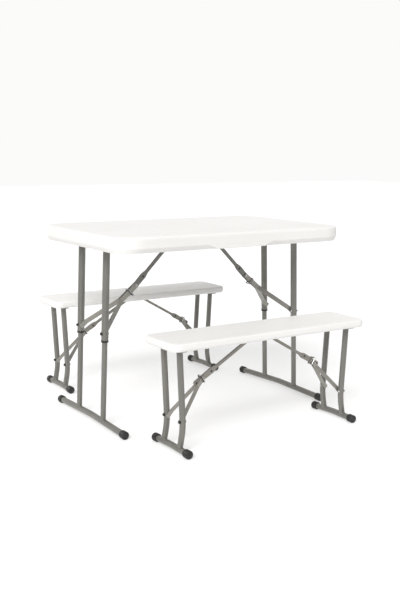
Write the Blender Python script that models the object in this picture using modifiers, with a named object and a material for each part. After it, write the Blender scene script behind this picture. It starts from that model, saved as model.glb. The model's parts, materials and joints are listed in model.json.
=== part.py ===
"""Folding picnic table with two matching benches, in metres, +Z up.

The long side of the table lies along X, the front bench is on the -Y side and
the floor is z = 0.  Each of the six leg frames folds inwards about a pivot bar
and is held open by a Y-shaped brace with a sliding wire ring.
"""
import math

import bmesh
import bpy
from mathutils import Matrix, Vector

# ---- driving dimensions -------------------------------------------------
GAP = 0.0003                    # clearance between pieces that touch
TABLE_Y = -0.0135               # table centre, so that the whole set is centred
BENCH_Y = 0.4705                # bench centres, in front and behind

TUBE_SIDES = 12
CAP_RADIUS = 0.0155
CAP_LENGTH = 0.026
CAP_WALL = 0.004
TUBE_WALL = 0.0012

ARM_HALF_WIDTH = 0.0045         # half the thickness of the upper brace arm
STRIP = 0.003                   # thickness of the flat V arms
STRIP_TAIL = 0.006              # how far they run past the knee rivet
STRIP_CLEARANCE = 0.0005        # between a V arm and the upper arm
RIVET_RADIUS = 0.0026
RIVET_HEAD_RADIUS = 0.0045
RIVET_HEAD = 0.0018
ARM_PIN_HOLE = 0.0032           # bore at the arm's root, over the fork's pin
CHANNEL_WALL = 0.0015

FORK_HALF = 0.0105              # centre bracket's forks, half their length
FORK_DROP = 0.0085              # how far they reach below the pin
FORK_CHEEK = 0.002
FORK_CLEARANCE = 0.0008
PLATE = 0.0018
PIN_RADIUS = 0.0026
RING_WIRE = 0.0016
RING_HALF_WIDTH = 0.0125

TABLE = dict(
    length=1.045, width=0.680, height=0.740, edge=0.057, corner=0.100,
    round=0.010, lip=0.017, lip_inset=0.009, rim=0.024, panel=0.018,
    recess_corner=0.040,
    pivot_x=0.442, pivot_z=0.702, pivot_radius=0.0125, pivot_half=0.2985,
    foot_x=0.4655, foot_half=0.2703, foot_rise=0.008, foot_radius=0.0118,
    leg_y=0.103, bolt_along=0.3422, arm_x=0.080, arm_z=0.702, slack=0.0006,
    narrow=0.006, wide=0.011, wide_back=0.050, lobe=0.052,
    strip_half=0.0095, strip_straight=0.085, ring=0.036, ring_height=0.0155,
    bend=-1,
)
BENCH = dict(
    length=0.870, width=0.209, height=0.402, edge=0.027, corner=0.034,
    round=0.007, lip=0.008, lip_inset=0.003, rim=0.014, panel=0.010,
    recess_corner=0.018,
    pivot_x=0.380, pivot_z=0.380, pivot_radius=0.0085, pivot_half=0.078,
    foot_x=0.377, foot_half=0.1050, foot_rise=0.003, foot_radius=0.01125,
    leg_y=0.0525, leg_radius=0.01125, bend_x=0.364, bend_z=0.090,
    bolt_x=0.3655, bolt_z=0.115,
    arm_x=0.012, arm_z=0.381, slack=0.0054,
    narrow=0.005, wide=0.0105, wide_back=0.045, lobe=0.040,
    strip_half=0.0075, strip_straight=0.034, ring=0.004, ring_height=0.0141,
    bend=1,
)
UPPER_RADIUS = 0.0135           # table leg, upper tube
UPPER_WALL = 0.0017
UPPER_END = 0.367               # where the upper tube ends, measured down the leg
LOWER_RADIUS = 0.0105
LOWER_START = 0.310
COLLAR_RADIUS = 0.0143
COLLAR_SPAN = (UPPER_END + GAP, UPPER_END + 0.0073)
LEG_DROP = 0.6785               # table pivot down to the foot bar, at the leg tubes
TABLE_FOLD = math.pi / 2 + math.atan2(TABLE["foot_x"] - TABLE["pivot_x"], LEG_DROP)
BENCH_FOLD = math.radians(85.8)
BENCH_BEND = 0.030              # length of the bend eased on each side of its knot

DEEP_HALF_TOP = 0.150           # deep middle of the table's skirt
DEEP_HALF_BOTTOM = 0.115
DEEP_HALF_WALL = 0.0070
ENDS = (("front", -1), ("rear", 1))
RAIL_Y = 0.2975                 # side rails under the table top
RAIL_HALF = (0.4625, 0.007, 0.0130)
BENCH_RAIL_Y = 0.077
BENCH_RAIL_HALF = (0.405, 0.005, 0.0065)
PIVOT_PLAY = 0.0008             # pivot bar in its rail, all round
EAR_WALL = 0.0028               # metal left round the pivot bore


# ---- scene and materials ------------------------------------------------
def clear_scene():
    for obj in list(bpy.data.objects):
        bpy.data.objects.remove(obj, do_unlink=True)


def material(name, colour, roughness, metallic=0.0):
    mat = bpy.data.materials.new(name)
    mat.use_nodes = True
    shader = mat.node_tree.nodes["Principled BSDF"]
    shader.inputs["Base Color"].default_value = (*colour, 1.0)
    shader.inputs["Roughness"].default_value = roughness
    shader.inputs["Metallic"].default_value = metallic
    mat.diffuse_color = (*colour, 1.0)
    return mat


clear_scene()
PARTS = bpy.data.collections.new("folding_picnic_table")
CUTTERS = bpy.data.collections.new("cutters")
bpy.context.scene.collection.children.link(PARTS)
bpy.context.scene.collection.children.link(CUTTERS)

LOOKS = dict(
    plastic=((0.86, 0.85, 0.83), 0.45, 0.0),
    coat=((0.24, 0.23, 0.215), 0.42, 0.0),
    zinc=((0.72, 0.72, 0.70), 0.30, 1.0),
    rubber=((0.018, 0.018, 0.018), 0.60, 0.0),
)


# ---- general tools ------------------------------------------------------
def axis_empty(name, place, parent=None):
    """An empty on a joint's axis; every moving piece hangs from one."""
    empty = bpy.data.objects.new(name, None)
    PARTS.objects.link(empty)
    empty["place"] = tuple(place)
    if parent:
        empty.parent = parent
        empty.location = Vector(place) - Vector(parent["place"])
    else:
        empty.location = place
    return empty


def node(name, data, look, parent=None):
    """One named object from a closed mesh in world coordinates."""
    data.name = name
    data.materials.clear()
    data.materials.append(material(name, *LOOKS[look]))
    obj = bpy.data.objects.new(name, data)
    PARTS.objects.link(obj)
    if parent:
        obj.parent = parent
        obj.location = -Vector(parent["place"])
    return obj


def placed(obj, matrix=Matrix.Identity(4)):
    """The finished mesh of a working object, moved by matrix; the object goes."""
    bpy.context.view_layer.update()
    graph = bpy.context.evaluated_depsgraph_get()
    mesh = bpy.data.meshes.new_from_object(obj.evaluated_get(graph))
    bm = bmesh.new()
    bm.from_mesh(mesh)
    bmesh.ops.remove_doubles(bm, verts=bm.verts[:], dist=0.00001)
    bm.transform(matrix @ obj.matrix_world)
    bmesh.ops.recalc_face_normals(bm, faces=bm.faces[:])
    bm.to_mesh(mesh)
    bm.free()
    source = obj.data
    bpy.data.objects.remove(obj, do_unlink=True)
    if isinstance(source, bpy.types.Mesh):
        bpy.data.meshes.remove(source)
    else:
        bpy.data.curves.remove(source)
    return mesh


def working(data):
    obj = bpy.data.objects.new("working", data)
    CUTTERS.objects.link(obj)
    obj.display_type = "WIRE"
    obj.hide_render = True
    return obj


def cylinder(start, end, radius, sides=TUBE_SIDES):
    """A solid bar with a vertex line at its lowest side."""
    start, end = Vector(start), Vector(end)
    bm = bmesh.new()
    bmesh.ops.create_cone(bm, cap_ends=True, segments=sides, radius1=radius,
                          radius2=radius, depth=(end - start).length)
    data = bpy.data.meshes.new("bar")
    bm.to_mesh(data)
    bm.free()
    turn = (end - start).to_track_quat("Z", "X").to_matrix().to_4x4()
    data.transform(Matrix.Translation((start + end) / 2) @ turn)
    return data


def box(low, high):
    low, high = Vector(low), Vector(high)
    bm = bmesh.new()
    bmesh.ops.create_cube(bm, size=1.0)
    data = bpy.data.meshes.new("block")
    bm.to_mesh(data)
    bm.free()
    size = Matrix.Diagonal((*(high - low), 1.0))
    data.transform(Matrix.Translation((low + high) / 2) @ size)
    return data


def combine(base, other, operation="DIFFERENCE"):
    """Boolean of two meshes; both are used up."""
    body = working(base)
    tool = working(other)
    cut = body.modifiers.new("cut", "BOOLEAN")
    cut.operation = operation
    cut.solver = "EXACT"
    cut.object = tool
    mesh = placed(body)
    bpy.data.objects.remove(tool, do_unlink=True)
    bpy.data.meshes.remove(other)
    return mesh


def weld(first, *others):
    for other in others:
        first = combine(first, other, "UNION")
    return first


def prism(points, half, matrix):
    """A flat outline in the matrix's XY plane, thickened by half each way."""
    curve = bpy.data.curves.new("outline", "CURVE")
    curve.dimensions = "2D"
    curve.fill_mode = "BOTH"
    curve.extrude = half
    spline = curve.splines.new("POLY")
    spline.points.add(len(points) - 1)
    for spot, (x, y) in zip(spline.points, points):
        spot.co = (x, y, 0.0, 1.0)
    spline.use_cyclic_u = True
    return placed(working(curve), matrix)


def tube(points, radius, wall=TUBE_WALL, sides=10):
    """A bent hollow tube, open at both ends."""
    curve = bpy.data.curves.new("run", "CURVE")
    curve.dimensions = "3D"
    curve.bevel_depth = radius
    curve.bevel_resolution = sides // 2 - 2
    curve.use_fill_caps = False
    spline = curve.splines.new("POLY")
    spline.points.add(len(points) - 1)
    for spot, place in zip(spline.points, points):
        spot.co = (*place, 1.0)
    shell = working(placed(working(curve)))
    thick = shell.modifiers.new("wall", "SOLIDIFY")
    thick.thickness = wall
    thick.offset = -1.0
    thick.use_even_offset = True
    return placed(shell)


def wire_loop(points, radius):
    curve = bpy.data.curves.new("loop", "CURVE")
    curve.dimensions = "3D"
    curve.bevel_depth = radius
    curve.bevel_resolution = 1
    spline = curve.splines.new("POLY")
    spline.points.add(len(points) - 1)
    for spot, place in zip(spline.points, points):
        spot.co = (*place, 1.0)
    spline.use_cyclic_u = True
    return placed(working(curve))


def arc(cx, cy, radius, start, end, steps):
    """Points on a circular arc, angles in degrees."""
    turn = [math.radians(start + (end - start) * k / steps) for k in range(steps + 1)]
    return [(cx + radius * math.cos(a), cy + radius * math.sin(a)) for a in turn]


def sleeve(start, end, outer, inner, sides=TUBE_SIDES):
    """A collar: a bar with a bore right through it."""
    start, end = Vector(start), Vector(end)
    over = (end - start).normalized() * 0.002
    return combine(cylinder(start, end, outer, sides),
                   cylinder(start - over, end + over, inner, sides))


# ---- moulded slabs ------------------------------------------------------
def ring_loft(length, width, corner, levels):
    """Closed body through rings of a rounded outline, each (inset, height)."""
    bm = bmesh.new()
    bmesh.ops.create_grid(bm, x_segments=1, y_segments=1, size=0.5)
    bmesh.ops.scale(bm, vec=(length, width, 1.0), verts=bm.verts[:])
    bmesh.ops.bevel(bm, geom=bm.verts[:], offset=corner, segments=6,
                    profile=0.5, affect="VERTICES")
    bmesh.ops.delete(bm, geom=bm.faces[:], context="FACES_ONLY")
    ring_verts, ring_edges = list(bm.verts), list(bm.edges)
    last_x, last_y = 1.0, 1.0
    for index, (inset, z) in enumerate(levels):
        if index:
            grown = bmesh.ops.extrude_edge_only(bm, edges=ring_edges)["geom"]
            ring_verts = [g for g in grown if isinstance(g, bmesh.types.BMVert)]
            ring_edges = [g for g in grown if isinstance(g, bmesh.types.BMEdge)
                          and all(v in ring_verts for v in g.verts)]
        shrink_x = 1 - 2 * inset / length
        shrink_y = 1 - 2 * inset / width
        for vert in ring_verts:
            vert.co.x *= shrink_x / last_x
            vert.co.y *= shrink_y / last_y
            vert.co.z = z
        last_x, last_y = shrink_x, shrink_y
    bmesh.ops.holes_fill(bm, edges=bm.edges[:], sides=0)
    bmesh.ops.recalc_face_normals(bm, faces=bm.faces[:])
    data = bpy.data.meshes.new("slab")
    bm.to_mesh(data)
    bm.free()
    return data


def moulded_slab(spec):
    """Table top or seat: soft top edge, skirt, undercut lip, recess underneath."""
    top, edge, soft = spec["height"], spec["edge"], spec["round"]
    bottom = top - edge
    steps = 4
    levels = []
    for k in range(steps + 1):
        a = math.pi / 2 * k / steps
        levels.append((soft * (1 - math.sin(a)), top - soft * (1 - math.cos(a))))
    levels += [(0.0, bottom + spec["lip"]), (spec["lip_inset"], bottom)]
    outer = ring_loft(spec["length"], spec["width"], spec["corner"], levels)
    inner = 2 * (spec["lip_inset"] + spec["rim"])
    recess = ring_loft(spec["length"] - inner, spec["width"] - inner, spec["recess_corner"],
                       [(0.0, bottom - 0.005), (0.0, top - spec["panel"])])
    return combine(outer, recess)


def flat_xz(y):
    """Places a drawn outline in the XZ plane at this y."""
    return Matrix.Translation((0, y, 0)) @ Matrix.Rotation(math.pi / 2, 4, "X")


def table_top():
    slab = moulded_slab(TABLE)
    bottom = TABLE["height"] - TABLE["edge"]
    shoulder = bottom + TABLE["lip"] + 0.001
    ramp = [(-DEEP_HALF_TOP, shoulder), (-DEEP_HALF_BOTTOM, bottom),
            (DEEP_HALF_BOTTOM, bottom), (DEEP_HALF_TOP, shoulder)]
    for side in (-1, 1):
        y = side * (TABLE["width"] / 2 - DEEP_HALF_WALL - 0.0002)
        slab = combine(slab, prism(ramp, DEEP_HALF_WALL, flat_xz(y)), "UNION")
    slab.transform(Matrix.Translation((0, TABLE_Y, 0)))
    return slab


# ---- brace geometry -----------------------------------------------------
class Brace:
    """Sizes and places of one Y brace, on the side where x has this sign."""

    def __init__(self, spec, side, centre_y, bolt, folded_bolt):
        self.spec, self.side, self.y = spec, side, centre_y
        root = Vector((spec["arm_x"], spec["arm_z"]))
        bolt, folded_bolt = Vector(bolt), Vector(folded_bolt)
        reach = (bolt - root).length
        closed = (folded_bolt - root).length
        self.arm_length = (reach + spec["slack"] + closed) / 2
        self.strip_length = (reach + spec["slack"] - closed) / 2
        along = (self.arm_length ** 2 - self.strip_length ** 2 + reach ** 2) / (2 * reach)
        drop = math.sqrt(self.arm_length ** 2 - along ** 2)
        line = (bolt - root) / reach
        bow = Vector((-line.y, line.x)) * spec["bend"]
        knee = root + line * along + bow * drop
        self.root, self.knee, self.bolt = root, knee, bolt
        self.arm_frame = self.frame(knee, (knee - root).normalized())
        self.strip_frame = self.frame(knee, (bolt - knee).normalized())
        self.root_place = self.world(root)
        self.knee_place = self.world(knee)
        arm_turn = math.atan2(*(folded_bolt - root).yx) - math.atan2(*(knee - root).yx)
        strip_rest = math.atan2(*(bolt - knee).yx)
        strip_end = math.atan2(*(folded_bolt - root).yx) - math.pi
        self.arm_turn = -arm_turn
        self.strip_turn = (strip_rest - strip_end) + arm_turn

    def world(self, spot):
        return (self.side * spot.x, self.y, spot.y)

    def frame(self, origin, line):
        """Local X along the piece (outwards), local Z up, Y across."""
        side = self.side
        x = Vector((side * line.x, 0, line.y))
        z = Vector((-side * line.y, 0, line.x))
        y = z.cross(x)
        turn = Matrix((x, y, z)).transposed().to_4x4()
        return Matrix.Translation(self.world(origin)) @ turn


UPRIGHT = Matrix.Rotation(math.pi / 2, 4, "X")      # outline's Y becomes local Z


def upper_arm(brace):
    """Folded-steel channel: narrow from its root, wide at the knee, round lobe."""
    spec = brace.spec
    n, w = spec["narrow"], spec["wide"]
    root, back, lobe = -brace.arm_length, -spec["wide_back"], spec["lobe"]
    outline = arc(root, 0, n, 90, 270, 6)
    outline += [(back - 0.020, -n), (back, -w)]
    outline += arc(lobe - w * 0.8, 0, w * 0.8, -90, 90, 8)
    outline += [(back, w), (back - 0.020, n)]
    frame = brace.arm_frame @ UPRIGHT
    body = prism(outline, ARM_HALF_WIDTH, frame)
    inside = ARM_HALF_WIDTH - CHANNEL_WALL
    hollow = box((root + 0.012, -inside, -0.030), (lobe - 0.014, inside, n - CHANNEL_WALL))
    hollow.transform(brace.arm_frame)
    body = combine(body, hollow)
    for along, radius in ((root, ARM_PIN_HOLE), (0.0, RIVET_RADIUS + 0.0004)):
        hole = cylinder((along, -0.010, 0), (along, 0.010, 0), radius)
        hole.transform(brace.arm_frame)
        body = combine(body, hole)
    return body


def strip_outline(brace, sign, outer_y):
    """Plan of one V arm: straight at the knee, spread, then flat on the tube."""
    inner = ARM_HALF_WIDTH + STRIP_CLEARANCE
    length = brace.strip_length
    spread = brace.spec["strip_straight"]
    line = [(-STRIP_TAIL, inner), (spread, inner), (length - 0.020, outer_y - STRIP),
            (length + 0.010, outer_y - STRIP)]
    far = [(x, y + STRIP) for x, y in line]
    return [(x, sign * y) for x, y in line + far[::-1]]


def strip(brace, world_sign, outer_y):
    """One flat V arm on the front (-1) or rear (+1) side."""
    outline = strip_outline(brace, brace.side * world_sign, outer_y)
    return prism(outline, brace.spec["strip_half"], brace.strip_frame)


def v_arm(brace, world_sign, outer_y):
    """A separate V arm, holed for the knee rivet."""
    arm = strip(brace, world_sign, outer_y)
    sign = brace.side * world_sign
    hole = cylinder((0, 0, 0), (0, sign * 0.015, 0), RIVET_RADIUS + GAP)
    hole.transform(brace.strip_frame)
    return combine(arm, hole)


def knee_rivet(brace):
    """Rivet through both V arms and the upper arm, with a low head each side."""
    face = ARM_HALF_WIDTH + STRIP_CLEARANCE + STRIP + GAP
    end = face + RIVET_HEAD
    inner_end = end - 0.0002
    shank = cylinder((0, -inner_end, 0), (0, inner_end, 0), RIVET_RADIUS)
    heads = [cylinder((0, sign * face, 0), (0, sign * end, 0), RIVET_HEAD_RADIUS)
             for sign in (-1, 1)]
    rivet = weld(shank, *heads)
    rivet.transform(brace.strip_frame)
    return rivet


def ring_lock(brace):
    w, h, soft = RING_HALF_WIDTH, brace.spec["ring_height"], 0.003
    corners = ((w - soft, h - soft, 0), (-w + soft, h - soft, 90),
               (-w + soft, -h + soft, 180), (w - soft, -h + soft, 270))
    loop = []
    for cy, cz, start in corners:
        loop += arc(cy, cz, soft, start, start + 90, 2)
    places = [brace.arm_frame @ Vector((brace.spec["ring"], y, z)) for y, z in loop]
    return wire_loop(places, RING_WIRE)


def centre_bracket(braces, ceiling):
    """Steel plate under the slab with a fork and a pin for each upper arm."""
    x, y, z = braces[1].root_place
    inside = ARM_HALF_WIDTH + FORK_CLEARANCE
    outside = inside + FORK_CHEEK
    pin_end = outside - 0.0004
    reach = abs(x) + FORK_HALF
    body = box((-reach, y - outside, ceiling - PLATE), (reach, y + outside, ceiling))
    for side in (-1, 1):
        middle = side * abs(x)
        near, far = middle - FORK_HALF, middle + FORK_HALF
        fork = box((near, y - outside, z - FORK_DROP), (far, y + outside, ceiling - PLATE / 2))
        slot = box((near - 0.01, y - inside, z - 0.02), (far + 0.01, y + inside, ceiling - PLATE))
        pin = cylinder((middle, y - pin_end, z), (middle, y + pin_end, z), PIN_RADIUS)
        body = weld(body, combine(fork, slot), pin)
    return body


def folded_place(spec, bolt, fold):
    """Where a leg's brace bolt ends up once the leg has turned by fold."""
    pivot = Vector((spec["pivot_x"], spec["pivot_z"]))
    return pivot + Matrix.Rotation(-fold, 2) @ (Vector(bolt) - pivot)


# ---- feet ---------------------------------------------------------------
def foot_line(spec, side, centre_y):
    """End, middle and end of the arched foot bar's centre line."""
    tilt = math.atan2(spec["foot_rise"], spec["foot_half"])
    end_z = CAP_RADIUS * math.cos(tilt) + CAP_LENGTH / 2 * math.sin(tilt)
    x = side * spec["foot_x"]
    return [Vector((x, centre_y - spec["foot_half"], end_z)),
            Vector((x, centre_y, end_z + spec["foot_rise"])),
            Vector((x, centre_y + spec["foot_half"], end_z))]


def foot_bar(spec, side, centre_y):
    front, middle, rear = foot_line(spec, side, centre_y)
    inside = CAP_LENGTH / 2 - CAP_WALL - GAP
    ends = [end + (end - middle).normalized() * inside for end in (front, rear)]
    return tube([ends[0], middle, ends[1]], spec["foot_radius"], sides=12)


def foot_cap(spec, side, centre_y, sign):
    """Moulded cap over the front (-1) or rear (+1) end of a foot bar."""
    front, middle, rear = foot_line(spec, side, centre_y)
    end = rear if sign > 0 else front
    out = (end - middle).normalized()
    near, far = end - out * CAP_LENGTH / 2, end + out * CAP_LENGTH / 2
    bore = cylinder(near - out * 0.002, far - out * CAP_WALL, spec["foot_radius"] + GAP)
    return combine(cylinder(near, far, CAP_RADIUS), bore)


def bar_height(spec, along_y):
    """Height of the foot bar's centre line at this distance from its middle."""
    end = foot_line(spec, 1, 0.0)[0].z
    return end + spec["foot_rise"] * (1 - abs(along_y) / spec["foot_half"])


# ---- table --------------------------------------------------------------
def table_leg_line(side, y):
    """Pivot, unit direction down the leg and length to the foot bar's centre."""
    top = Vector((side * TABLE["pivot_x"], y, TABLE["pivot_z"]))
    foot = Vector((side * TABLE["foot_x"], y, bar_height(TABLE, TABLE["leg_y"])))
    down = (foot - top).normalized()
    return top, down, (foot - top).length


def table_end(side, root):
    word = "right" if side > 0 else "left"
    name = f"table_{word}_"
    pivot, down, length = table_leg_line(side, TABLE_Y)
    leg = axis_empty(name + "leg_axis", pivot, root)
    lower = axis_empty(name + "lower_axis", pivot + down * COLLAR_SPAN[1], leg)

    half = Vector((0, TABLE["pivot_half"], 0))
    upper_frame = cylinder(pivot - half, pivot + half, TABLE["pivot_radius"])
    lower_frame = foot_bar(TABLE, side, TABLE_Y)
    for word_y, sign in ENDS:
        start = pivot + Vector((0, sign * TABLE["leg_y"], 0))
        upper = sleeve(start, start + down * UPPER_END, UPPER_RADIUS,
                       UPPER_RADIUS - UPPER_WALL, 16)
        upper_frame = weld(upper_frame, upper)
        lower_tube = sleeve(start + down * LOWER_START, start + down * length,
                            LOWER_RADIUS, LOWER_RADIUS - TUBE_WALL, 16)
        lower_frame = weld(lower_frame, lower_tube)
        collar = sleeve(start + down * COLLAR_SPAN[0], start + down * COLLAR_SPAN[1],
                        COLLAR_RADIUS, LOWER_RADIUS + GAP, 16)
        node(name + "leg_collar_" + word_y, collar, "rubber", leg)
        cap = foot_cap(TABLE, side, TABLE_Y, sign)
        node(name + "foot_cap_" + word_y, cap, "rubber", lower)
    node(name + "upper_leg_frame", upper_frame, "coat", leg)
    node(name + "lower_leg_frame", lower_frame, "coat", lower)

    bolt = (abs(pivot.x) + abs(down.x) * TABLE["bolt_along"],
            pivot.z + down.z * TABLE["bolt_along"])
    brace = Brace(TABLE, side, TABLE_Y, bolt, folded_place(TABLE, bolt, TABLE_FOLD))
    knee = brace_arm(brace, name, root)
    outer_y = TABLE["leg_y"] - UPPER_RADIUS - GAP
    for word_y, sign in ENDS:
        node(name + "v_arm_" + word_y, v_arm(brace, sign, outer_y), "coat", knee)
    node(name + "knee_rivet", knee_rivet(brace), "zinc", knee)
    return brace


def brace_arm(brace, name, root):
    """Upper arm and ring; returns the empty on the knee's axis."""
    arm = axis_empty(name + "arm_axis", brace.root_place, root)
    knee = axis_empty(name + "knee_axis", brace.knee_place, arm)
    node(name + "upper_arm", upper_arm(brace), "coat", arm)
    node(name + "ring_lock", ring_lock(brace), "zinc", arm)
    return knee


def side_rail(spec, y, half, ceiling):
    """Long rail under the slab, with a bored ear for the end of each pivot bar."""
    half_x, half_y, half_z = half
    rail = box((-half_x, y - half_y, ceiling - 2 * half_z), (half_x, y + half_y, ceiling))
    bore_radius = spec["pivot_radius"] + PIVOT_PLAY
    ear = bore_radius + EAR_WALL
    for side in (-1, 1):
        x, z = side * spec["pivot_x"], spec["pivot_z"]
        rail = weld(rail, box((x - ear, y - half_y, z - ear), (x + ear, y + half_y, ceiling)))
        bore = cylinder((x, y - 2 * half_y, z), (x, y + 2 * half_y, z), bore_radius)
        rail = combine(rail, bore)
    return rail


def table():
    ceiling = TABLE["height"] - TABLE["panel"] - GAP
    root = axis_empty("table_origin", (0, TABLE_Y, 0))
    node("table_top", table_top(), "plastic", root)
    braces = [table_end(side, root) for side in (-1, 1)]
    node("table_centre_bracket", centre_bracket(braces, ceiling), "coat", root)
    for word_y, sign in ENDS:
        rail = side_rail(TABLE, TABLE_Y + sign * RAIL_Y, RAIL_HALF, ceiling)
        node("table_rail_" + word_y, rail, "coat", root)
    return braces


# ---- benches ------------------------------------------------------------
def bench_leg_run(side, y, centre_y):
    """Centre line of one bent bench leg tube, from pivot bar to foot bar."""
    spec = BENCH
    first = Vector((spec["pivot_x"], spec["pivot_z"]))
    bend = Vector((spec["bend_x"], spec["bend_z"]))
    last = Vector((spec["foot_x"], bar_height(spec, y)))
    before = bend + (first - bend).normalized() * BENCH_BEND
    after = bend + (last - bend).normalized() * BENCH_BEND
    line = [first]
    steps = 4
    for k in range(steps + 1):
        t = k / steps
        line.append(before * (1 - t) ** 2 + bend * 2 * t * (1 - t) + after * t ** 2)
    line.append(last)
    return [Vector((side * p.x, centre_y + y, p.y)) for p in line]


def bench_end(prefix, side, centre_y, root):
    word = "right" if side > 0 else "left"
    name = f"{prefix}_{word}_"
    spec = BENCH
    pivot = Vector((side * spec["pivot_x"], centre_y, spec["pivot_z"]))
    leg = axis_empty(name + "leg_axis", pivot, root)
    half = Vector((0, spec["pivot_half"], 0))
    frame = cylinder(pivot - half, pivot + half, spec["pivot_radius"])
    frame = weld(frame, foot_bar(spec, side, centre_y))
    for word_y, sign in ENDS:
        run = bench_leg_run(side, sign * spec["leg_y"], centre_y)
        frame = weld(frame, tube(run, spec["leg_radius"]))
        cap = foot_cap(spec, side, centre_y, sign)
        node(name + "foot_cap_" + word_y, cap, "rubber", leg)
    node(name + "leg_frame", frame, "coat", leg)

    bolt = (spec["bolt_x"], spec["bolt_z"])
    brace = Brace(spec, side, centre_y, bolt, folded_place(spec, bolt, BENCH_FOLD))
    knee = brace_arm(brace, name, root)
    outer_y = spec["leg_y"] - spec["leg_radius"] - GAP
    rivet = knee_rivet(brace)
    arms = [strip(brace, sign, outer_y) for _, sign in ENDS]
    node(name + "v_brace", weld(rivet, *arms), "coat", knee)
    return brace


def bench(prefix, centre_y, root):
    ceiling = BENCH["height"] - BENCH["panel"] - GAP
    base = axis_empty(prefix + "_origin", (0, centre_y, 0), root)
    seat = moulded_slab(BENCH)
    seat.transform(Matrix.Translation((0, centre_y, 0)))
    node(prefix + "_seat", seat, "plastic", base)
    braces = [bench_end(prefix, side, centre_y, base) for side in (-1, 1)]
    node(prefix + "_centre_bracket", centre_bracket(braces, ceiling), "coat", base)
    for word_y, sign in ENDS:
        rail = side_rail(BENCH, centre_y + sign * BENCH_RAIL_Y, BENCH_RAIL_HALF, ceiling)
        node(prefix + "_rail_" + word_y, rail, "coat", base)
    return braces


table()
bench("front_bench", -BENCH_Y, bpy.data.objects["table_origin"])
bench("rear_bench", BENCH_Y, bpy.data.objects["table_origin"])
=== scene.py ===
"""Looks for the folding picnic table and its two benches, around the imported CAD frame."""
import json
import math

import bmesh
import bpy
from mathutils import Matrix, Vector

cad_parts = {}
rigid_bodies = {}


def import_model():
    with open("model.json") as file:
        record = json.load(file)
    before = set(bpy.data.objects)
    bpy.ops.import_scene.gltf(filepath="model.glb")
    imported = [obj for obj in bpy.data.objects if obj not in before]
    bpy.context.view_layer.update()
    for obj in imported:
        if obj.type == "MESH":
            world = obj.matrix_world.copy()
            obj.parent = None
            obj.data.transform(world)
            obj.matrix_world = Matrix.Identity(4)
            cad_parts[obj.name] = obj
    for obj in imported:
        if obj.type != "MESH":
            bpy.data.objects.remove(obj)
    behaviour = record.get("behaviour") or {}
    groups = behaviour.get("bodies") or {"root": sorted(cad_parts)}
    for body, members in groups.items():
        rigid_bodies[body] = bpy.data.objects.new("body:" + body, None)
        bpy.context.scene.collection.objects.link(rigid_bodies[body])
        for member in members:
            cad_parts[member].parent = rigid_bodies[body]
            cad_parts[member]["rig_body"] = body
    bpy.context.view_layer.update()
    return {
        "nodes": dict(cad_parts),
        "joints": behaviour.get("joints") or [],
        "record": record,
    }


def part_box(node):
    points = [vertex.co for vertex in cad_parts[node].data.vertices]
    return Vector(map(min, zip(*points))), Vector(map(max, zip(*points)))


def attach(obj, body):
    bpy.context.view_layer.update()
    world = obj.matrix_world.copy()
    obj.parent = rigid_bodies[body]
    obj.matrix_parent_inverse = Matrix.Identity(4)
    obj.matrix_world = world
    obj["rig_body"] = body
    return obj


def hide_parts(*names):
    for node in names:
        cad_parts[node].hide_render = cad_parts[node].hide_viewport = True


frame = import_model()
NODES = frame["nodes"]
JOINTS = {joint["name"]: joint for joint in frame["joints"]}
SIDES = (("left", -1), ("right", 1))
ENDS = (("front", -1), ("rear", 1))
BENCHES = ("front_bench", "rear_bench")
GROUPS = ("table",) + BENCHES


# ---- camera, floor and light ---------------------------------------------
CAMERA_PLACE = (-1.8825, -2.9233, 1.0382)
CAMERA_FORWARD = (0.54266, 0.82212, -0.17215)
CAMERA_RIGHT = (0.83538, -0.54960, 0.00863)
CAMERA_LENS = 51.42


def add_camera():
    """The photographer's place: left of the set, a little above the table top."""
    data = bpy.data.cameras.new("camera")
    data.lens = CAMERA_LENS
    data.sensor_width = 36.0
    data.clip_end = 60.0
    camera = bpy.data.objects.new("camera", data)
    forward = Vector(CAMERA_FORWARD).normalized()
    right = Vector(CAMERA_RIGHT)
    right = (right - forward * right.dot(forward)).normalized()
    up = right.cross(forward)
    turn = Matrix((right, up, -forward)).transposed().to_4x4()
    camera.matrix_world = Matrix.Translation(CAMERA_PLACE) @ turn
    bpy.context.scene.collection.objects.link(camera)
    bpy.context.scene.camera = camera


def add_sun(name, towards, power, softness):
    """Large soft light that falls evenly on the whole floor."""
    data = bpy.data.lights.new(name, "SUN")
    data.energy = power
    data.angle = math.radians(softness)
    lamp = bpy.data.objects.new(name, data)
    lamp.rotation_euler = Vector(towards).to_track_quat("Z", "Y").to_euler()
    bpy.context.scene.collection.objects.link(lamp)


# The white wall is behind the set and the room is in front.
BACKDROP_SIDE = (0.55, 0.83, 0.0)
ROOM_TONE = 0.22
WALL_TONE = 0.965
CEILING_TONE = 0.70
STUDIO_WHITE = (1.0, 0.998, 0.994, 1)


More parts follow.
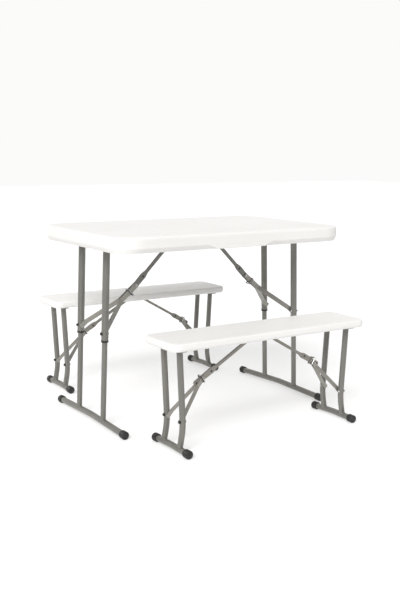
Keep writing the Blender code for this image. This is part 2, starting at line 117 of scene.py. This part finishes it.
def add_world():
    """Light of a white wall behind, a dimmer room in front and a bright ceiling.

    Seen directly, the studio is plain white all round.
    """
    world = bpy.data.worlds.new("studio")
    world.use_nodes = True
    tree = world.node_tree
    back = tree.nodes["Background"]
    sky = tree.nodes.new("ShaderNodeTexCoord").outputs["Generated"]

    def facing(direction, start, end, low, high):
        dot = tree.nodes.new("ShaderNodeVectorMath")
        dot.operation = "DOT_PRODUCT"
        tree.links.new(sky, dot.inputs[0])
        dot.inputs[1].default_value = direction
        span = tree.nodes.new("ShaderNodeMapRange")
        span.interpolation_type = "SMOOTHSTEP"
        tree.links.new(dot.outputs["Value"], span.inputs["Value"])
        limits = (("From Min", start), ("From Max", end), ("To Min", low), ("To Max", high))
        for name, value in limits:
            span.inputs[name].default_value = value
        return span.outputs["Result"]

    most = tree.nodes.new("ShaderNodeMath")
    most.operation = "MAXIMUM"
    tree.links.new(facing(BACKDROP_SIDE, -0.2, 0.55, ROOM_TONE, WALL_TONE), most.inputs[0])
    tree.links.new(facing((0, 0, 1), 0.35, 0.85, ROOM_TONE, CEILING_TONE), most.inputs[1])
    seen = tree.nodes.new("ShaderNodeMath")
    seen.operation = "MAXIMUM"
    seen_directly = tree.nodes.new("ShaderNodeMath")
    seen_directly.operation = "MULTIPLY"
    seen_directly.inputs[1].default_value = WALL_TONE
    tree.links.new(tree.nodes.new("ShaderNodeLightPath").outputs["Is Camera Ray"],
                   seen_directly.inputs[0])
    tree.links.new(most.outputs["Value"], seen.inputs[0])
    tree.links.new(seen_directly.outputs["Value"], seen.inputs[1])
    tree.links.new(seen.outputs["Value"], back.inputs["Strength"])
    back.inputs["Color"].default_value = STUDIO_WHITE
    bpy.context.scene.world = world


# ---- node helpers ---------------------------------------------------------
class Look:
    """A Principled material with small helpers for its procedural nodes."""

    def __init__(self, name, roughness, metallic=0.0):
        self.material = bpy.data.materials.new(name)
        self.material.use_nodes = True
        self.tree = self.material.node_tree
        self.shader = self.tree.nodes["Principled BSDF"]
        self.shader.inputs["Roughness"].default_value = roughness
        self.shader.inputs["Metallic"].default_value = metallic
        self.place = self.tree.nodes.new("ShaderNodeTexCoord").outputs["Object"]
        self.bumps = None

    def soft_edges(self, radius):
        """Rounds the shading of sharp edges, as paint and moulding do."""
        made = self.node("ShaderNodeBevel", Radius=radius)
        self.bumps = made.outputs["Normal"]

    def node(self, kind, **values):
        made = self.tree.nodes.new(kind)
        for key, value in values.items():
            made.inputs[key].default_value = value
        return made

    def link(self, source, target):
        self.tree.links.new(source, target)

    def noise(self, scale, detail=2.0, stretch=None):
        made = self.node("ShaderNodeTexNoise", Scale=scale, Detail=detail)
        place = self.place
        if stretch:
            mapping = self.node("ShaderNodeMapping", Scale=stretch)
            self.link(place, mapping.inputs["Vector"])
            place = mapping.outputs["Vector"]
        self.link(place, made.inputs["Vector"])
        return made.outputs["Fac"]

    def ramp(self, factor, *stops):
        """Colour ramp through (position, colour) stops; a number is a grey."""
        made = self.tree.nodes.new("ShaderNodeValToRGB")
        points = made.color_ramp.elements
        while len(points) < len(stops):
            points.new(0.5)
        for point, (at, colour) in zip(points, stops):
            point.position = at
            point.color = (*(colour if isinstance(colour, tuple) else (colour,) * 3), 1)
        self.link(factor, made.inputs["Fac"])
        return made.outputs["Color"]

    def mix(self, factor, low, high, blend="MIX"):
        made = self.tree.nodes.new("ShaderNodeMix")
        made.data_type = "RGBA"
        made.blend_type = blend
        for socket, value in (("Factor", factor), ("A", low), ("B", high)):
            target = [s for s in made.inputs if s.name == socket and s.enabled][0]
            if isinstance(value, bpy.types.NodeSocket):
                self.link(value, target)
            elif isinstance(value, tuple):
                target.default_value = (*value, 1)
            else:
                target.default_value = value
        return [s for s in made.outputs if s.enabled][0]

    def bump(self, height, strength, distance):
        made = self.node("ShaderNodeBump", Strength=strength, Distance=distance)
        self.link(height, made.inputs["Height"])
        if self.bumps:
            self.link(self.bumps, made.inputs["Normal"])
        self.bumps = made.outputs["Normal"]
        self.link(self.bumps, self.shader.inputs["Normal"])

    def colour(self, socket):
        self.link(socket, self.shader.inputs["Base Color"])

    def rough(self, socket):
        self.link(socket, self.shader.inputs["Roughness"])


# ---- materials ------------------------------------------------------------
def moulded_plastic(name, base, shade):
    """White polyethylene: pebbled skin, faint clouding, slightly waxy gloss."""
    look = Look(name, 0.45)
    cloud = look.noise(3.5, 3.0)
    grain = look.noise(900, 2.0)
    tint = look.ramp(cloud, (0.3, shade), (0.7, base))
    speck = look.ramp(look.noise(260, 1.0), (0.30, 0.965), (0.42, 1.0))
    look.colour(look.mix(1.0, tint, speck, "MULTIPLY"))
    look.rough(look.ramp(look.noise(60, 2.0), (0.3, 0.38), (0.7, 0.50)))
    pebble = look.node("ShaderNodeTexVoronoi", Scale=420)
    look.link(look.place, pebble.inputs["Vector"])
    look.bump(pebble.outputs["Distance"], 0.22, 0.0005)
    look.bump(grain, 0.12, 0.0003)
    look.bump(cloud, 0.25, 0.0010)
    look.shader.inputs["Subsurface Weight"].default_value = 0.06
    look.shader.inputs["Subsurface Radius"].default_value = (0.006, 0.005, 0.004)
    return look.material


def powder_coat(name, base, worn):
    """Satin powder coat with orange peel, fine speckle and rubbed streaks."""
    look = Look(name, 0.4, 0.55)
    look.soft_edges(0.0007)
    speckle = look.ramp(look.noise(1400, 1.0), (0.35, 0.90), (0.65, 1.06))
    streak = look.noise(18, 3.0, (1.0, 1.0, 0.15))
    tint = look.mix(look.ramp(streak, (0.45, 0.0), (0.75, 0.6)), base, worn)
    look.colour(look.mix(1.0, tint, speckle, "MULTIPLY"))
    look.rough(look.ramp(look.noise(35, 3.0), (0.3, 0.30), (0.7, 0.42)))
    look.bump(look.noise(520, 1.0), 0.12, 0.0003)
    look.shader.inputs["Coat Weight"].default_value = 0.12
    look.shader.inputs["Coat Roughness"].default_value = 0.30
    return look.material


def zinc_steel(name):
    """Bright zinc plate: brushed along its length, with dull patches."""
    look = Look(name, 0.3, 1.0)
    cloud = look.noise(45, 3.0)
    look.colour(look.ramp(cloud, (0.3, (0.42, 0.42, 0.41)), (0.7, (0.58, 0.58, 0.565))))
    look.rough(look.ramp(look.noise(160, 2.0), (0.3, 0.30), (0.7, 0.48)))
    look.bump(look.noise(700, 2.0, (1.0, 1.0, 0.1)), 0.15, 0.0002)
    return look.material


def black_plastic(name):
    """Moulded black plastic with a fine matt skin and scuffed patches."""
    look = Look(name, 0.45)
    scuff = look.ramp(look.noise(70, 4.0), (0.52, 0.0), (0.72, 0.55))
    look.colour(look.mix(scuff, (0.010, 0.010, 0.010), (0.045, 0.043, 0.041)))
    look.rough(look.ramp(look.noise(90, 2.0), (0.3, 0.30), (0.7, 0.52)))
    look.bump(look.noise(900, 2.0), 0.18, 0.0003)
    return look.material


def studio_paper(name):
    """Seamless white paper, lit a little from below so that shadows stay faint."""
    look = Look(name, 0.9)
    look.colour(look.ramp(look.noise(2.0, 3.0), (0.3, 0.60), (0.7, 0.62)))
    look.bump(look.noise(180, 2.0), 0.04, 0.0003)
    look.shader.inputs["Emission Color"].default_value = STUDIO_WHITE
    look.shader.inputs["Emission Strength"].default_value = 0.37
    look.shader.inputs["Specular IOR Level"].default_value = 0.0
    return look.material


PLASTIC = moulded_plastic("moulded_plastic", (0.745, 0.737, 0.720), (0.720, 0.710, 0.690))
GREY_COAT = powder_coat("grey_coat", (0.185, 0.178, 0.161), (0.225, 0.215, 0.194))
BENCH_COAT = powder_coat("bench_coat", (0.245, 0.231, 0.205), (0.285, 0.268, 0.239))
# A lighter copy of the coat for the V arms: painted light, standing in for the light the arms catch.
V_ARM_PAINTED_LIGHT_COAT = powder_coat("v_arm_painted_light_coat", (0.300, 0.285, 0.258), (0.350, 0.333, 0.300))
ZINC = zinc_steel("zinc_steel")
BLACK = black_plastic("black_plastic")
SLOT_LOOKS = dict(white_plastic=PLASTIC, grey_coat=GREY_COAT, bench_coat=BENCH_COAT,
                  zinc=ZINC, black_plastic=BLACK)


# ---- mesh helpers ---------------------------------------------------------
def smooth(mesh, angle=38):
    mesh.polygons.foreach_set("use_smooth", [True] * len(mesh.polygons))
    mesh.set_sharp_from_angle(angle=math.radians(angle))


def piece(name, bm, look, body):
    """One ridden piece of the object from a bmesh in the row frame."""
    mesh = bpy.data.meshes.new(name)
    bmesh.ops.recalc_face_normals(bm, faces=bm.faces[:])
    bm.to_mesh(mesh)
    bm.free()
    mesh.materials.append(look)
    smooth(mesh)
    obj = bpy.data.objects.new(name, mesh)
    bpy.context.scene.collection.objects.link(obj)
    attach(obj, body)
    return obj


def dress_nodes():
    """Every CAD node takes the finish of its slot and smooth shading; the V arms instead take a
    lighter copy of the coat, painted light for the light they catch.
    """
    slots = {part["node"]: part["material_slot"] for part in frame["record"]["subparts"]}
    for name, obj in NODES.items():
        obj.data.materials.clear()
        # The V arms take the lighter coat, which paints the light they catch.
        look = V_ARM_PAINTED_LIGHT_COAT if "_v_" in name else SLOT_LOOKS[slots[name]]
        obj.data.materials.append(look)
        smooth(obj.data)


# ---- moulded slabs ----------------------------------------------------------
SLABS = dict(
    table=dict(corner=0.100, soft=0.010, lip=0.017, lip_inset=0.009,
               rim=0.024, panel=0.018, recess_corner=0.040, deep=(0.115, 0.150)),
    bench=dict(corner=0.034, soft=0.007, lip=0.008, lip_inset=0.003,
               rim=0.014, panel=0.010, recess_corner=0.018, deep=None),
)
DEEP_BLEND = 0.005              # how softly the deep middle of the skirt begins
LONG_SIDE_POINTS = 60           # spacing of the outline's points on the long sides
FINE_START = 0.100              # closer points round the ends of the deep middle
FINE_STEP = 0.0025
FINE_POINTS = 28


def rounded_outline(half_x, half_y, corner, steps, straight):
    """Points round a rectangle with arc corners; long sides get extra points."""
    points = []
    for index, (sx, sy) in enumerate(((1, 1), (-1, 1), (-1, -1), (1, -1))):
        cx, cy = sx * (half_x - corner), sy * (half_y - corner)
        for k in range(steps + 1):
            a = math.pi / 2 * (index + k / steps)
            points.append((cx + corner * math.cos(a), cy + corner * math.sin(a)))
        if index % 2 == 0:
            row = straight if sx > 0 else [-x for x in straight]
            points += [(x, sy * half_y) for x in row]
    return points


def ease(value, low, high):
    t = min(max((value - low) / (high - low), 0.0), 1.0)
    return t * t * (3 - 2 * t)


def slab_levels(spec, bottom, top):
    """(inset, height, lip share) of each ring, recess first, top last."""
    soft, lip, rim = spec["soft"], spec["lip"], spec["rim"]
    inner = spec["lip_inset"] + rim
    ceiling = top - spec["panel"]
    edge = 0.0012
    levels = [(inner + 0.006, ceiling, 0), (inner + edge, ceiling, 0),
              (inner, ceiling - edge, 0), (inner, bottom + edge, 0),
              (inner - edge, bottom, 0)]
    levels += [(edge, bottom, 1), (edge * 0.3, bottom + edge * 0.3, 1), (0, bottom + edge, 1)]
    levels += [(0, bottom + lip * share, 1 - share) for share in (0.25, 0.5, 0.75)]
    levels += [(0.0002, bottom + lip - 0.0006, 0), (0, bottom + lip, 0),
               (0, bottom + lip + 0.002, 0)]
    levels += [(0, top - soft - 0.004, 0)]
    steps = 6
    for k in range(steps + 1):
        a = math.pi / 2 * k / steps
        levels.append((soft * (1 - math.cos(a)), top - soft * (1 - math.sin(a)), 0))
    levels.append((soft + 0.012, top, 0))
    return levels


def moulded_slab(name, node, spec, body):
    """Slab lofted from the recess, round the lip and skirt, to the flat top."""
    low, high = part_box(node)
    centre = (low + high) / 2
    half_x, half_y = (high.x - low.x) / 2, (high.y - low.y) / 2
    bottom, top = low.z, high.z
    reach = half_x - spec["corner"]
    straight = [reach * (1 - 2 * k / LONG_SIDE_POINTS) for k in range(1, LONG_SIDE_POINTS)]
    if spec["deep"]:
        fine = [FINE_START + FINE_STEP * k for k in range(FINE_POINTS)]
        coarse = [round(x, 4) for x in straight if not 0.098 < abs(x) < 0.172]
        straight = sorted(set(coarse + fine + [-x for x in fine]), reverse=True)
    bm = bmesh.new()
    rings = []
    inner = spec["lip_inset"] + spec["rim"]
    for inset, z, share in slab_levels(spec, bottom, top):
        if inset > inner - 0.002 and z < top - 0.5 * spec["panel"]:
            corner = spec["recess_corner"] - (inset - inner)
        else:
            corner = max(spec["corner"] - inset, 0.01)
        row = []
        for x, y in rounded_outline(half_x - inset, half_y - inset, corner, 10, straight):
            if share:
                keep = share
                if spec["deep"] and abs(y) > half_y * 0.8:
                    near, far = spec["deep"]
                    border = near + (far - near) * (z - bottom) / spec["lip"]
                    keep = share * ease(abs(x), border - DEEP_BLEND, border + DEEP_BLEND)
                x -= math.copysign(spec["lip_inset"] * keep, x) * min(1, abs(x) / half_x) ** 8
                y -= math.copysign(spec["lip_inset"] * keep, y) * min(1, abs(y) / half_y) ** 8
            row.append(bm.verts.new((centre.x + x, centre.y + y, z)))
        rings.append(row)
    for one, two in zip(rings, rings[1:]):
        for k in range(len(one)):
            n = (k + 1) % len(one)
            bm.faces.new((one[k], one[n], two[n], two[k]))
    bm.faces.new(rings[0])
    bm.faces.new(rings[-1])
    obj = piece(name, bm, PLASTIC, body)
    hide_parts(node)


# ---- fittings ---------------------------------------------------------------
TABLE_TUBE_Y = 0.103            # tube centres, from the middle of each leg frame
TABLE_TUBES = dict(upper=0.0135, lower=0.0105, bar=0.0118)
BENCH_TUBE_Y = 0.0525
BENCH_TUBE = 0.01125
SINK = 0.0004                   # how far heads and nuts sit into a tube's round side
CAP = dict(length=0.026, radius=0.0155)
FEET = dict(                    # foot bars: place, half length, rise of the arch, end height
    table=dict(x=0.4655, half=0.2703, rise=0.008, end=0.01588),
    bench=dict(x=0.377, half=0.1050, rise=0.003, end=0.01586),
)


def frame_at(origin, line, across=(0, 1, 0)):
    """Matrix with local Z along line and local X near across."""
    z = Vector(line).normalized()
    x = Vector(across) - z * z.dot(Vector(across))
    if x.length < 0.001:
        x = Vector((0, 0, 1)) - z * z.z
    x.normalize()
    turn = Matrix((x, z.cross(x), z)).transposed().to_4x4()
    return Matrix.Translation(origin) @ turn


def lathe(bm, profile, matrix, sides=20):
    """Closed body of revolution about local Z through (radius, height) points."""
    start = bm.verts.new(matrix @ Vector((0, 0, profile[0][1])))
    end = bm.verts.new(matrix @ Vector((0, 0, profile[-1][1])))
    rings = []
    for radius, z in profile:
        rings.append([bm.verts.new(matrix @ Vector((radius * math.cos(math.tau * k / sides),
                                                    radius * math.sin(math.tau * k / sides), z)))
                      for k in range(sides)])
    for k in range(sides):
        n = (k + 1) % sides
        bm.faces.new((start, rings[0][n], rings[0][k]))
        bm.faces.new((end, rings[-1][k], rings[-1][n]))
        for one, two in zip(rings, rings[1:]):
            bm.faces.new((one[k], one[n], two[n], two[k]))


def dome(radius, height, skirt=0.0006):
    """Profile of a low round head, standing on local z = 0."""
    steps = 5
    arc = [(radius * math.cos(math.pi / 2 * k / steps),
            skirt + (height - skirt) * math.sin(math.pi / 2 * k / steps)) for k in range(steps)]
    return [(radius, 0.0)] + arc + [(radius * 0.06, height)]


def cap_nut(radius, height):
    """Profile of a domed nut on a washer."""
    return [(radius * 1.25, 0.0), (radius * 1.25, 0.0009), (radius, 0.0010),
            (radius, height * 0.55)] + [
                (radius * 0.92 * math.cos(a), height * (0.55 + 0.45 * math.sin(a)))
                for a in (0.1, 0.5, 0.9, 1.3, 1.52)]


def swept(bm, path, radius, closed=True, sides=8, wobble=0.0):
    """Tube along a path of points, with a slightly uneven radius for weld beads."""
    count = len(path)
    rings = []
    for k, place in enumerate(path):
        ahead = path[(k + 1) % count] - path[k - 1]
        matrix = frame_at(place, ahead, (0, 0, 1))
        r = radius * (1 + wobble * math.sin(k * 2.4) * math.cos(k * 0.7))
        rings.append([bm.verts.new(matrix @ Vector((r * math.cos(math.tau * j / sides),
                                                    r * math.sin(math.tau * j / sides), 0)))
                      for j in range(sides)])
    pairs = list(zip(rings, rings[1:]))
    if closed:
        pairs.append((rings[-1], rings[0]))
    for one, two in pairs:
        for j in range(sides):
            n = (j + 1) % sides
            bm.faces.new((one[j], one[n], two[n], two[j]))


def foot_of(group):
    return FEET["table" if group == "table" else "bench"]


def foot_caps():
    """Ribbed end caps, turned about each foot bar's own slope."""
    length, radius = CAP["length"], CAP["radius"]
    half = length / 2
    for name in NODES:
        if "_foot_cap_" not in name:
            continue
        low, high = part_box(name)
        out = -1 if name.endswith("front") else 1
        foot = foot_of(name.split("_")[0])
        slope = foot["rise"] / foot["half"]
        axis = Vector((0, out, -slope)).normalized()
        profile = [(radius - 0.0020, -half), (radius - 0.0004, -half + 0.0006),
                   (radius - 0.0002, -half + 0.0030)]
        for rib in range(3):
            z = -half + 0.0050 + 0.0045 * rib
            profile += [(radius - 0.0011, z), (radius - 0.0011, z + 0.0012),
                        (radius - 0.0002, z + 0.0018), (radius - 0.0002, z + 0.0036)]
        soft = 0.0042
        profile += [(radius - soft + soft * math.cos(a), half - soft + soft * math.sin(a) - 0.0002)
                    for a in (0.0, 0.4, 0.8, 1.2, 1.55)]
        profile += [(radius * 0.55, half - 0.0002), (radius * 0.50, half - 0.0009),
                    (radius * 0.1, half - 0.0009)]
        bm = bmesh.new()
        lathe(bm, profile, frame_at((low + high) / 2, axis, (1, 0, 0)), 28)
        cap = piece(name + "_moulding", bm, BLACK, NODES[name]["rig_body"])
        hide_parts(name)


def joint_place(name):
    return Vector(JOINTS[name]["pos_m"])


TABLE_BOLT = (0.0118, 0.3420)   # out from the leg's pivot, and down from it
BENCH_BOLT = (0.3655, 0.115)    # out from the bench's middle, and above the floor
BOLT_RADIUS = 0.0050


def leg_bolts():
    """Bright bolt heads inside and black cap nuts outside, where the V arms end."""
    for group in GROUPS:
        for word, side in SIDES:
            prefix = f"{group}_{word}_"
            pivot = joint_place(prefix + "leg_fold")
            if group == "table":
                out, drop = TABLE_BOLT
                middle = pivot + Vector((side * out, 0, -drop))
                tube_y, tube = TABLE_TUBE_Y, TABLE_TUBES["upper"]
            else:
                out, height = BENCH_BOLT
                middle = Vector((side * out, pivot.y, height))
                tube_y, tube = BENCH_TUBE_Y, BENCH_TUBE
            heads, nuts = bmesh.new(), bmesh.new()
            for _, sign in ENDS:
                bolt = middle + Vector((0, sign * tube_y, 0))
                inside = bolt - Vector((side * (tube - SINK), 0, 0))
                outside = bolt + Vector((side * (tube - SINK), 0, 0))
                lathe(heads, dome(BOLT_RADIUS, 0.0034), frame_at(inside, (-side, 0, 0)))
                lathe(nuts, cap_nut(BOLT_RADIUS, 0.0072), frame_at(outside, (side, 0, 0)))
            piece(prefix + "bolt_heads", heads, ZINC, prefix + "leg")
            piece(prefix + "cap_nuts", nuts, BLACK, prefix + "leg")


def brace_line(prefix):
    """Knee place and the unit line down the upper arm."""
    knee = joint_place(prefix + "v_fold")
    root = joint_place(prefix + "arm_swing")
    return knee, (knee - root).normalized()


EYELETS = dict(table=(-0.046,), bench=(-0.041, 0.031))      # along the arm, from the knee
EYELET_PROFILE = [(0.0040, 0.0), (0.0040, 0.0003), (0.0033, 0.00038),
                  (0.0028, 0.0002), (0.0003, 0.0001)]
ARM_SIDE = 0.00445              # the arm's side faces, from its middle
# The black band beside each wire ring paints the dark shadow line there.
BAND_HALF_WIDTH = 0.0098
BAND_HALF_HEIGHT = dict(table=0.0139, bench=0.0125)
BAND_CORNER = 0.0022
BAND_WIRE = 0.0011
BAND_SHIFT = 0.0030             # along the arm, from the wire ring


def brace_fittings():
    """Eyelets in each upper arm, and a black wire band beside its wire ring that paints the dark
    shadow line there.
    """
    for group in GROUPS:
        kind = "table" if group == "table" else "bench"
        for word, _ in SIDES:
            prefix = f"{group}_{word}_"
            knee, down = brace_line(prefix)
            eyes = bmesh.new()
            for along in EYELETS[kind]:
                for _, sign in ENDS:
                    place = knee + down * along + Vector((0, sign * ARM_SIDE, 0))
                    lathe(eyes, EYELET_PROFILE, frame_at(place, (0, sign, 0), down))
            piece(prefix + "arm_eyelets", eyes, BLACK, prefix + "arm")

            low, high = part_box(prefix + "ring_lock")
            middle = (low + high) / 2 + down * BAND_SHIFT
            cross = Vector((-down.z, 0, down.x)) if down.z < 0 else Vector((down.z, 0, -down.x))
            near_y = BAND_HALF_WIDTH
            near_z = BAND_HALF_HEIGHT[kind] - BAND_CORNER
            corners = ((near_y, near_z), (-near_y, near_z), (-near_y, -near_z), (near_y, -near_z))
            path = []
            for index, (cy, cz) in enumerate(corners):
                for k in range(4):
                    a = math.pi / 2 * (index + k / 3)
                    path.append(middle + Vector((0, cy + BAND_CORNER * math.cos(a), 0))
                                + cross * (cz + BAND_CORNER * math.sin(a)))
            # Painted shade: a black loop along the ring where a shadow line shows.
            band = bmesh.new()
            swept(band, path, BAND_WIRE)
            piece(prefix + "ring_shadow_line", band, BLACK, prefix + "ring")


def weld_path(centre, tube, bar):
    """Closed saddle line where an upright tube meets a bar that runs along Y."""
    path = []
    for k in range(28):
        a = math.tau * k / 28
        x, y = tube * math.cos(a), tube * math.sin(a)
        path.append(centre + Vector((x, y, math.sqrt(max(bar ** 2 - x ** 2, 0.0)))))
    return path


def bar_height(group, along):
    """Height of the arched foot bar's centre line, from its caps' height."""
    foot = foot_of(group)
    return foot["end"] + foot["rise"] * (1 - along / foot["half"])


def weld_beads():
    """Beads where the upright tubes stand on the foot bars."""
    for group in GROUPS:
        table = group == "table"
        for word, side in SIDES:
            prefix = f"{group}_{word}_"
            centre_y = joint_place(prefix + "leg_fold").y
            foot_x = side * foot_of(group)["x"]
            tube_y = TABLE_TUBE_Y if table else BENCH_TUBE_Y
            tube = TABLE_TUBES["lower"] if table else BENCH_TUBE - 0.0006
            bar = TABLE_TUBES["bar"] if table else BENCH_TUBE
            beads = bmesh.new()
            for _, sign in ENDS:
                spot = Vector((foot_x, centre_y + sign * tube_y, bar_height(group, tube_y)))
                swept(beads, weld_path(spot, tube, bar), 0.0013, wobble=0.25)
            body = prefix + ("lower_leg" if table else "leg")
            piece(prefix + "weld_beads", beads, GREY_COAT, body)


def pressed_screw(radius, height):
    """Pan head with a shallow socket in the middle."""
    return dome(radius, height)[:-1] + [(radius * 0.45, height * 0.95), (radius * 0.40, height * 0.45),
                                        (radius * 0.05, height * 0.45)]


SCREW_INSET = 0.16              # the last screw, from the end of its rail
SCREWS_PER_RAIL = 5
RAIL_UNDERSIDE = dict(table=0.6958, bench=0.3788)


def rail_screws():
    """Screws up through the rails into the slabs."""
    for group in GROUPS:
        kind = "table" if group == "table" else "bench"
        screws = bmesh.new()
        for word_y, _ in ENDS:
            low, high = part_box(f"{group}_rail_{word_y}")
            reach = high.x - SCREW_INSET
            for k in range(SCREWS_PER_RAIL):
                x = -reach + 2 * reach * k / (SCREWS_PER_RAIL - 1)
                place = (x, (low.y + high.y) / 2, RAIL_UNDERSIDE[kind])
                lathe(screws, pressed_screw(0.0042, 0.0022),
                      frame_at(place, (0, 0, -1), (1, 0, 0)), 14)
        piece(group + "_rail_screws", screws, ZINC, group)


BUTTON_DOWN = 0.357             # spring buttons, down the leg from its pivot


def spring_buttons():
    """Snap buttons of the telescopic legs, just above each collar."""
    for word, side in SIDES:
        prefix = f"table_{word}_"
        pivot = joint_place(prefix + "leg_fold")
        up = Vector(JOINTS[prefix + "telescope"]["axis"]).normalized()
        buttons = bmesh.new()
        for _, sign in ENDS:
            place = pivot + Vector((0, sign * TABLE_TUBE_Y, 0)) - up * BUTTON_DOWN
            place -= Vector((side * (TABLE_TUBES["upper"] - SINK), 0, 0))
            lathe(buttons, dome(0.0034, 0.0026), frame_at(place, (-side, 0, 0), (0, 1, 0)), 16)
        piece(prefix + "spring_buttons", buttons, ZINC, prefix + "leg")


# ---- finish -----------------------------------------------------------------
def add_floor():
    bm = bmesh.new()
    bmesh.ops.create_grid(bm, x_segments=1, y_segments=1, size=20)
    mesh = bpy.data.meshes.new("floor")
    bm.to_mesh(mesh)
    bm.free()
    mesh.materials.append(studio_paper("studio_paper"))
    floor = bpy.data.objects.new("floor", mesh)
    bpy.context.scene.collection.objects.link(floor)


add_camera()
add_floor()
add_world()
add_sun("key", (-0.80, -0.68, 0.75), 3.2, 34)
bpy.context.scene.view_settings.view_transform = "Standard"
dress_nodes()
moulded_slab("table_top_moulding", "table_top", SLABS["table"], "table")
for bench in BENCHES:
    moulded_slab(bench + "_seat_moulding", bench + "_seat", SLABS["bench"], bench)
foot_caps()
leg_bolts()
brace_fittings()
weld_beads()
rail_screws()
spring_buttons()
